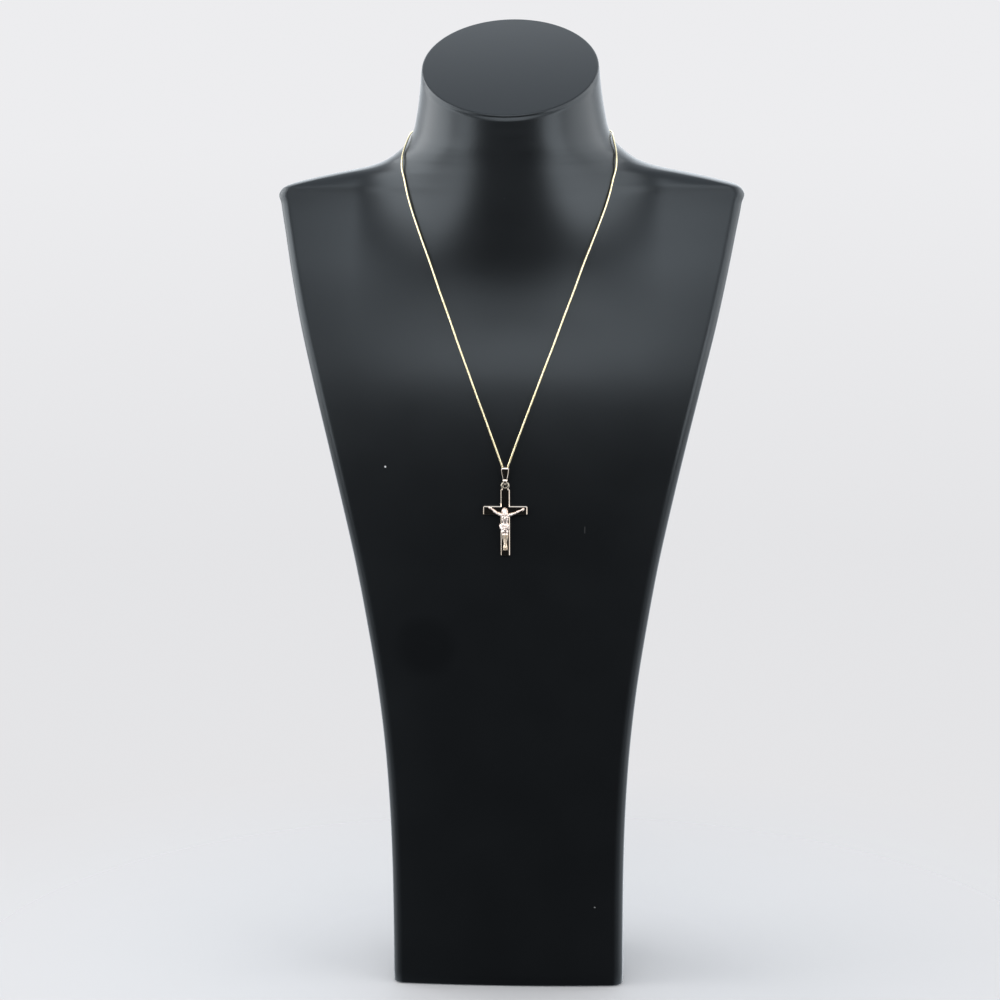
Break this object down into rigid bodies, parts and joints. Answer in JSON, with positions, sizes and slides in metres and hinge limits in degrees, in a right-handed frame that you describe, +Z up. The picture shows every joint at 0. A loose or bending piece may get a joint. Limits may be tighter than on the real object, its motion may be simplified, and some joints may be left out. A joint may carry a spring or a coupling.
{
  "type": "crucifix pendant necklace on a neck bust",
  "caption": "Small gold crucifix on a loop bail and a fine snake chain, hung round a plain black display bust with a slanted neck top.",
  "frame": {"origin": "on the floor under the middle of the bounding box, at the base of the bust", "axes": "+Z up, the front with the pendant faces -Y, +X to the viewer's right"},
  "size_m": [0.241, 0.1131, 0.4971],
  "materials": {
    "black_resin": "smooth satin black resin with a few fine dust specks and faint rub marks",
    "chain_gold": "polished yellow gold, fine snake scales",
    "cross_gold": "mirror polished yellow gold",
    "figure_gold": "bright pale rose gold, softly polished"
  },
  "bodies": {
    "display": {"bust": "black_resin", "chain": "chain_gold", "clasp": "chain_gold"},
    "bail": {"bail": "cross_gold"},
    "crucifix": {"cross": "cross_gold", "figure": "figure_gold"}
  },
  "joints": [
    {"name": "bail_swing", "type": "hinge", "parent": "display", "child": "bail", "pos_m": [0, -0.05325, 0.272], "axis": [-1, 0, 0], "range_deg": [0, 12]},
    {"name": "cross_swing", "type": "hinge", "parent": "bail", "child": "crucifix", "pos_m": [0, -0.05325, 0.26374], "axis": [0, 1, 0], "range_deg": [-45, 45]}
  ]
}
